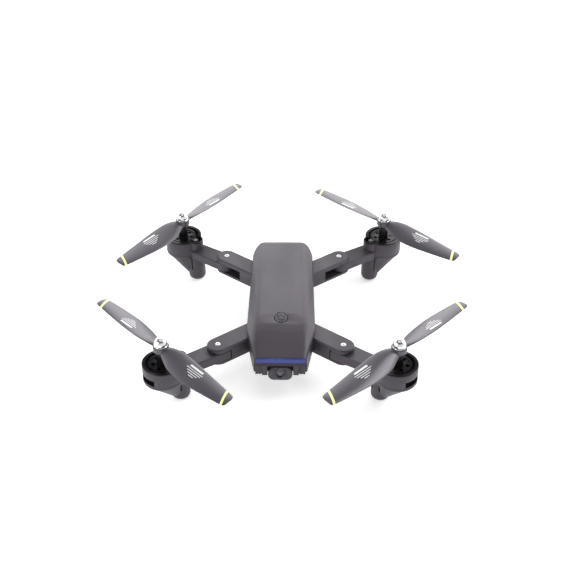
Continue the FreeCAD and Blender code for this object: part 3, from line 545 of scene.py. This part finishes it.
def combine(thing, mesh, operation):
    """Join a temporary solid to a piece, or cut it out, with an exact boolean."""
    tool = bpy.data.objects.new("tool", mesh)
    bpy.context.scene.collection.objects.link(tool)
    modifier = thing.modifiers.new("combine", "BOOLEAN")
    modifier.operation = operation
    modifier.solver = "EXACT"
    modifier.object = tool
    graph = bpy.context.evaluated_depsgraph_get()
    result = bpy.data.meshes.new_from_object(
        thing.evaluated_get(graph), preserve_all_data_layers=True, depsgraph=graph
    )
    thing.modifiers.clear()
    thing.data = result
    bpy.data.objects.remove(tool)


def centre_of(node):
    """The middle of a CAD node's box."""
    low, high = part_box(node)
    return (low + high) / 2.0


# ---------------------------------------------------------------- propellers
def eased(rows, index, share):
    """A station between two rows of a table, on a smooth curve through the rows."""
    last = len(rows) - 1
    before, here = rows[max(index - 1, 0)], rows[index]
    there, after = rows[min(index + 1, last)], rows[min(index + 2, last)]
    result = []
    for a, b, c, d in zip(before, here, there, after):
        result.append(0.5 * (
            2.0 * b + (c - a) * share
            + (2.0 * a - 5.0 * b + 4.0 * c - d) * share ** 2
            + (3.0 * b - a - 3.0 * c + d) * share ** 3
        ))
    return result


def blade_section(row):
    """Points round one blade section, upper face first, as (x, y, z, chord position)."""
    radius, lead, trail, pitch, thick = row
    turn = math.radians(pitch)
    upper, lower = [], []
    for n in range(CHORD_POINTS + 1):
        along = 0.5 - 0.5 * math.cos(math.pi * n / CHORD_POINTS)
        y = trail + (lead - trail) * along
        rise = 4.0 * along * (1.0 - along)
        lift = CAMBER * (lead - trail) * rise
        rounding = math.sqrt(max(0.0, 1.0 - abs(2.0 * along - 1.0) ** 10))
        half = 0.5 * thick * (0.35 + 0.65 * rise) * rounding
        for side, points in ((half, upper), (-half, lower)):
            z = lift + side
            points.append((
                radius,
                y * math.cos(turn) - z * math.sin(turn),
                y * math.sin(turn) + z * math.cos(turn),
                y,
            ))
    return upper + lower[-2:0:-1]


def add_blade(bm, uv, place):
    """Loft one blade; its upper face gets the second material and its own coordinates."""
    rows = []
    for index in range(len(BLADE_STATIONS) - 1):
        for step in range(RINGS_PER_STATION):
            rows.append(eased(BLADE_STATIONS, index, step / RINGS_PER_STATION))
    rows.append(BLADE_STATIONS[-1])
    sections = [blade_section(row) for row in rows]
    rings = [[bm.verts.new(place @ (Vector(p[:3]) * MM)) for p in s] for s in sections]
    count = len(sections[0])
    for i in range(len(rings) - 1):
        for n in range(count):
            m = (n + 1) % count
            face = bm.faces.new((rings[i][n], rings[i][m], rings[i + 1][m], rings[i + 1][n]))
            face.material_index = 1 if n < CHORD_POINTS else 0
            spots = (sections[i][n], sections[i][m], sections[i + 1][m], sections[i + 1][n])
            for loop, spot in zip(face.loops, spots):
                loop[uv].uv = (spot[0] / BLADE_UV_SPAN, 0.5 + spot[3] / BLADE_UV_SPAN)
    bm.faces.new(list(reversed(rings[0])))
    bm.faces.new(rings[-1])


def make_propeller(corner):
    """Two blades and a hub in one piece; the hub's top meets the spinner cap."""
    cap_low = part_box("spinner_cap_" + corner)[0].z
    hub = centre_of("rotor_shaft_" + corner)
    hub.z = cap_low - BLADE_BELOW_CAP * MM
    heading = Matrix.Rotation(math.radians(BLADE_ANGLE[corner]), 4, "Z")
    mirror = Matrix.Identity(4) if TURNS_LEFT[corner] else Matrix.Scale(-1, 4, (0, 1, 0))
    place = Matrix.Translation(hub) @ heading @ mirror
    bm = bmesh.new()
    uv = bm.loops.layers.uv.new("blade")
    add_blade(bm, uv, place)
    prop = piece(
        "visual_propeller_" + corner, bm, "rotor_" + corner, "propeller_plastic",
        "propeller_plastic", "propeller_print",
    )
    for extra in ("second_blade", "hub"):
        bm = bmesh.new()
        uv = bm.loops.layers.uv.new("blade")
        if extra == "second_blade":
            add_blade(bm, uv, place @ Matrix.Rotation(math.pi, 4, "Z"))
        else:
            rim = BLADE_BELOW_CAP
            foot = rim - HUB_HEIGHT
            edge = HUB_RIM_ROUNDING
            lathe(bm, [
                (0.0, rim), (HUB_RADIUS - 1.1, rim), (HUB_RADIUS - 0.9, rim - 0.25),
                *arc(HUB_RADIUS - edge, rim - edge, edge, 90.0, 0.0, 4),
                (HUB_RADIUS, foot + 1.5), (HUB_FOOT_RADIUS, foot), (0.0, foot),
            ], Matrix.Translation(hub))
        bmesh.ops.recalc_face_normals(bm, faces=bm.faces)
        mesh = bpy.data.meshes.new(extra)
        bm.to_mesh(mesh)
        bm.free()
        for look in ("propeller_plastic", "propeller_print"):
            mesh.materials.append(LOOKS[look])
        combine(prop, mesh, "UNION")
    smooth_by_angle(prop, 38.0)
    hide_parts("propeller_" + corner)


def make_cap(corner):
    """Chrome dome with a rolled foot and a groove above it."""
    low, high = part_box("spinner_cap_" + corner)
    radius = (high.x - low.x) / 2.0 / MM
    top = (high.z - low.z) / MM
    dome = top - radius
    foot = CAP_FOOT_ROUNDING
    axis = Vector(((low.x + high.x) / 2.0, (low.y + high.y) / 2.0, low.z))
    bm = bmesh.new()
    lathe(bm, [
        (0.0, 0.0), (radius - 2.0 * foot, 0.0),
        *arc(radius - foot, foot, foot, -90.0, 60.0, 6),
        (radius - CAP_GROOVE_DEPTH, 0.72), (radius - 0.1, 0.95),
        *arc(0.0, dome, radius - 0.02, 4.0, 90.0, 22),
    ], Matrix.Translation(axis), segments=96)
    cap = piece("visual_cap_" + corner, bm, "rotor_" + corner, "chrome")
    smooth_by_angle(cap, 40.0)
    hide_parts("spinner_cap_" + corner)


# ---------------------------------------------------------------- pivot screws
def add_cross(bm, place, low, high):
    """A cross-shaped bar between two heights, to cut a screw's recess."""
    reach, half = CROSS_REACH, CROSS_HALF_WIDTH
    quarter = ((reach, -half), (reach, half), (half, half))
    outline = []
    for turn in range(4):
        spin = Matrix.Rotation(math.radians(90.0 * turn), 2)
        outline += [spin @ Vector(point) for point in quarter]
    ends = []
    for height in (low, high):
        ends.append([bm.verts.new(place @ (Vector((*p, height)) * MM)) for p in outline])
    bm.faces.new(ends[0])
    bm.faces.new(ends[1])
    for n in range(len(outline)):
        m = (n + 1) % len(outline)
        bm.faces.new((ends[0][n], ends[0][m], ends[1][m], ends[1][n]))


def make_pivot_screws():
    """Four pan-head screws with a cross recess, on the pins that the arms fold about."""
    low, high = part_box("pivot_pins")
    head, edge = SCREW_HEAD_RADIUS, SCREW_EDGE_ROUNDING
    reach_x, reach_y = high.x - head * MM, (high.y - low.y) / 2.0 - head * MM
    middle = (low + high) / 2.0
    tall = (high.z - low.z) / MM
    under = tall - SCREW_HEAD_HEIGHT
    bm = bmesh.new()
    cutter = bmesh.new()
    for side_x in (-1, 1):
        for side_y in (-1, 1):
            spot = Vector((side_x * reach_x, middle.y + side_y * reach_y, low.z))
            place = Matrix.Translation(spot)
            lathe(bm, [
                (0.0, 0.0), (PIN_RADIUS - 0.2, 0.0), (PIN_RADIUS, 0.2), (PIN_RADIUS, under),
                (head - 0.1, under), (head, under + 0.1),
                *arc(head - edge, tall - edge - 0.05, edge, 0.0, 75.0, 6),
                (SCREW_FLAT_RADIUS, tall), (0.0, tall),
            ], place, segments=40)
            turn = Matrix.Rotation(math.radians(20.0 + 25.0 * side_x), 4, "Z")
            add_cross(cutter, place @ turn, tall - CROSS_DEPTH, tall + CROSS_DEPTH)
    screws = piece("visual_pivot_screws", bm, "airframe", "steel")
    subtract(screws, cutter)
    smooth_by_angle(screws, 35.0)
    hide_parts("pivot_pins")


# ---------------------------------------------------------------- camera lens
def lens_place():
    """The lens axis: its own Z points out of the camera's face."""
    low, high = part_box("camera_lens_ring")
    centre = Vector(((low.x + high.x) / 2.0, high.y, (low.z + high.z) / 2.0))
    return Matrix.Translation(centre) @ Matrix.Rotation(math.radians(90.0), 4, "X")


def make_lens_ring():
    """Rounded ring with a bore that narrows towards the glass in small steps."""
    low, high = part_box("camera_lens_ring")
    outer = (high.x - low.x) / 2.0 / MM
    depth = (high.y - low.y) / MM
    face = depth - 1.0
    steps = [(2.72, depth - 0.35), (2.52, depth - 0.5)]
    for n in range(LENS_STEPS):
        radius = LENS_FIRST_STEP - LENS_STEP_IN * n
        height = depth - 0.95 - LENS_STEP_DOWN * n
        steps += [(radius, height + 0.3), (radius - 0.05, height)]
    bm = bmesh.new()
    lathe(bm, [
        (LENS_TUBE_RADIUS, 0.0), (LENS_TUBE_RADIUS, face), (outer, face), (outer, depth - 0.45),
        *arc(outer - 0.3, depth - 0.3, 0.3, 0.0, 90.0, 5),
        (3.05, depth), (2.9, depth - 0.12), *steps,
        (LENS_BORE_RADIUS, 0.6), (LENS_BORE_RADIUS, 0.0),
    ], lens_place(), segments=80)
    ring = piece("visual_lens_ring", bm, "camera", "black_plastic", "lens_ring")
    smooth_by_angle(ring, 30.0)
    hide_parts("camera_lens_ring")


def make_lens_glass():
    """Front element and a smaller inner element, each a thick rounded disc."""
    glass_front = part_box("camera_glass")[0].y
    ring_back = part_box("camera_lens_ring")[1].y
    place = lens_place()
    outside = (ring_back - glass_front) / MM
    bm = bmesh.new()
    for radius, crown, thick, depth in LENS_ELEMENTS:
        height = outside - depth
        curve = (radius ** 2 + crown ** 2) / (2.0 * crown)
        span = math.degrees(math.asin(radius / curve))
        lathe(bm, [
            (0.0, height - thick), (radius, height - thick),
            *arc(0.0, height - curve + crown, curve, 90.0 - span, 90.0, 12),
        ], place)
    glass = piece("visual_camera_glass", bm, "camera", "lens_glass")
    smooth_by_angle(glass, 40.0)
    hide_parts("camera_glass")


# ---------------------------------------------------------------- CAD nodes' finishes
# Width of the rounding on each node's edges in millimetres, by the start of its name.
SOFTENED = {
    "canopy": 0.30, "upper_frame": 0.22, "bottom_shell": 0.22, "nose_grille": 0.12,
    "nose_window": 0.10, "camera_body": 0.18, "power_key": 0.12, "battery_cap": 0.20,
    "arm_": 0.22, "leg_": 0.22, "gear_base_": 0.12, "led_lens_": 0.12,
}


def soften(thing, width):
    """Round the sharp edges of a CAD part a little, as a mould does."""
    weld = thing.modifiers.new("weld", "WELD")
    weld.merge_threshold = 0.002 * MM
    flat = thing.modifiers.new("flat", "DECIMATE")
    flat.decimate_type = "DISSOLVE"
    flat.angle_limit = math.radians(0.5)
    rounded = thing.modifiers.new("rounded", "BEVEL")
    rounded.width = width * MM
    rounded.segments = 3
    rounded.limit_method = "ANGLE"
    rounded.angle_limit = math.radians(28.0)
    rounded.miter_outer = "MITER_ARC"
    rounded.harden_normals = True
    rounded.use_clamp_overlap = True


def finish_cad_nodes():
    """Give every CAD node the look of its material slot."""
    for entry in frame["record"]["subparts"]:
        thing = nodes[entry["node"]]
        thing.data.materials.clear()
        thing.data.materials.append(LOOKS[entry["material_slot"]])


# ---------------------------------------------------------------- stage
def make_floor():
    """Plain pale floor under the feet."""
    material, tree, shader, coords = start_material("floor")
    cloud = noise(tree, coords, 3.0, 2.0)
    tone = blend_colour(tree, cloud, (0.90, 0.90, 0.90), (0.93, 0.93, 0.93))
    tree.links.new(tone, shader.inputs["Base Color"])
    shader.inputs["Roughness"].default_value = 0.9
    shader.inputs["Specular IOR Level"].default_value = 0.1
    shader.inputs["Emission Color"].default_value = (1.0, 1.0, 1.0, 1.0)
    shader.inputs["Emission Strength"].default_value = FLOOR_GLOW
    bm = bmesh.new()
    bmesh.ops.create_grid(bm, x_segments=8, y_segments=8, size=FLOOR_HALF_WIDTH)
    mesh = bpy.data.meshes.new("floor")
    bm.to_mesh(mesh)
    bm.free()
    mesh.materials.append(material)
    floor = bpy.data.objects.new("floor", mesh)
    floor.location.z = cad_low.z
    bpy.context.scene.collection.objects.link(floor)


def make_sky():
    """Soft studio light: a bright ring round the horizon, brightest behind the object."""
    world = bpy.data.worlds.new("studio")
    bpy.context.scene.world = world
    world.use_nodes = True
    tree = world.node_tree
    direction = tree.nodes.new("ShaderNodeTexCoord").outputs["Generated"]
    split = add(tree, "ShaderNodeSeparateXYZ", {"Vector": direction})
    behind = between(tree, split.outputs[1], -0.4, 0.7, SKY_FRONT, SKY_BACK)
    overhead = between(tree, split.outputs[2], 0.30, 0.85, 1.0, SKY_TOP)
    level = calc(tree, "MULTIPLY", behind, overhead)
    background = tree.nodes["Background"]
    background.inputs["Color"].default_value = (1.0, 1.0, 1.0, 1.0)
    tree.links.new(level, background.inputs["Strength"])


def unit_vector(azimuth, elevation):
    """Unit vector from the object towards a place, from two angles in degrees."""
    turn, lift = math.radians(azimuth), math.radians(elevation)
    return Vector((
        math.sin(turn) * math.cos(lift), -math.cos(turn) * math.cos(lift), math.sin(lift)
    ))


def make_softbox(name, azimuth, elevation, distance, size, power):
    """A square area light that faces the object and stays out of the camera's view."""
    light = bpy.data.lights.new(name, "AREA")
    light.shape = "SQUARE"
    light.size = size
    light.energy = power
    lamp = bpy.data.objects.new(name, light)
    away = unit_vector(azimuth, elevation)
    lamp.location = CAMERA_AIM + away * distance
    lamp.rotation_mode = "QUATERNION"
    lamp.rotation_quaternion = away.to_track_quat("Z", "Y")
    lamp.visible_camera = False
    bpy.context.scene.collection.objects.link(lamp)


def make_camera():
    """Camera in front of the object, above it and looking down."""
    back = unit_vector(CAMERA_AZIMUTH, CAMERA_ELEVATION)
    data = bpy.data.cameras.new("camera")
    data.lens = CAMERA_LENS
    data.sensor_width = 36.0
    camera = bpy.data.objects.new("camera", data)
    camera.location = CAMERA_AIM + back * CAMERA_DISTANCE
    level = (-back).to_track_quat("-Z", "Y").to_matrix()
    roll = Matrix.Rotation(math.radians(CAMERA_ROLL), 3, "Z")
    camera.rotation_mode = "QUATERNION"
    camera.rotation_quaternion = (level @ roll).to_quaternion()
    bpy.context.scene.collection.objects.link(camera)
    bpy.context.scene.camera = camera


# ---------------------------------------------------------------- build
make_camera()
make_sky()
for softbox in SOFTBOXES:
    make_softbox(*softbox)
make_floor()
bpy.context.scene.view_settings.view_transform = "Standard"

finish_cad_nodes()
for node_name, cad_node in nodes.items():
    for start, edge_width in SOFTENED.items():
        if node_name.startswith(start):
            soften(cad_node, edge_width)
for corner_name in CORNERS:
    make_propeller(corner_name)
    make_cap(corner_name)
make_pivot_screws()
make_lens_ring()
make_lens_glass()
